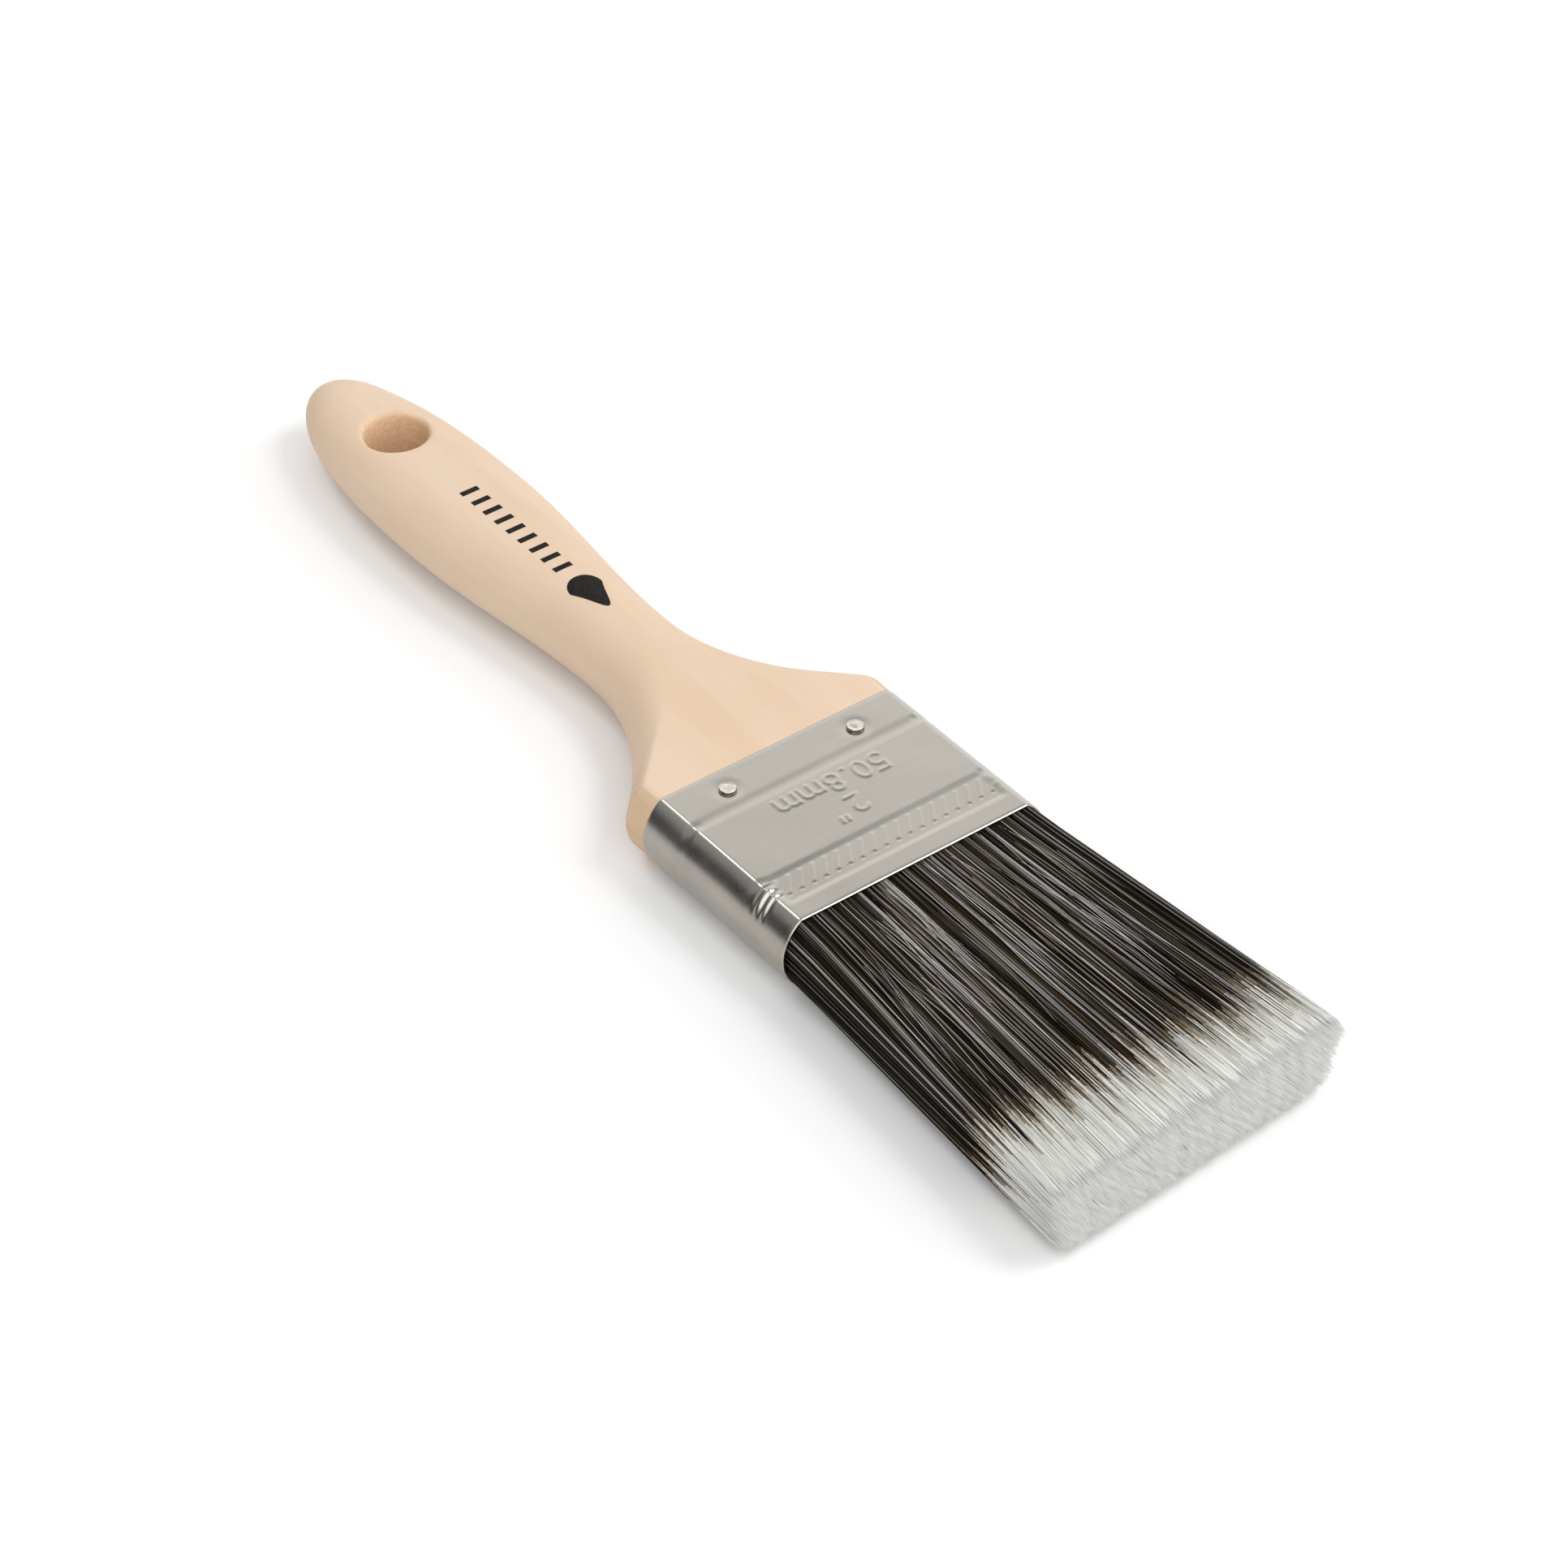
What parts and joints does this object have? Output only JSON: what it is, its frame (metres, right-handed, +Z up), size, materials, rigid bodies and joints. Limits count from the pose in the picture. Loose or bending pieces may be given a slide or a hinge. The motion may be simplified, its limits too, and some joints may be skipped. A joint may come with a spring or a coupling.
{
  "type": "flat paint brush",
  "caption": "Flat paint brush with a pale wooden beavertail handle and hang hole, a stamped steel ferrule, nails and flexing dark filaments with white tips.",
  "frame": {"origin": "centre of the brush's outline on the plane it lies on, under the back nails' heads", "axes": "+X along the brush towards the filament tips, +Y across its width, +Z up out of its front face"},
  "size_m": [0.235, 0.058, 0.0144],
  "materials": {
    "handle_wood": "unvarnished pale hardwood, fine grain, sanded smooth",
    "ferrule_steel": "satin sheet steel with stamped grooves and crimps",
    "nail_steel": "bright domed nail heads",
    "epoxy": "cured amber setting compound",
    "spacer_wood": "plain sawn strip",
    "filament": "mixed black, brown and grey tapered synthetic filaments with flagged white tips",
    "print_ink": "flat black printed mark"
  },
  "bodies": {
    "brush": {"handle": "handle_wood", "ferrule": "ferrule_steel", "nail_front_left": "nail_steel", "nail_front_right": "nail_steel", "nail_back_left": "nail_steel", "nail_back_right": "nail_steel", "epoxy_setting": "epoxy", "spacer_front": "spacer_wood", "spacer_back": "spacer_wood", "filament_roots_front": "filament", "filament_roots_middle": "filament", "filament_roots_back": "filament"},
    "filament_pack": {"filaments_front": "filament", "filaments_middle": "filament", "filaments_back": "filament"}
  },
  "joints": [
    {"name": "filament_flex", "type": "hinge", "parent": "brush", "child": "filament_pack", "pos_m": [0.0543, 0, 0.0072], "axis": [0, 1, 0], "range_deg": [-30, 30], "stiffness_Nm_per_rad": 0.6}
  ]
}
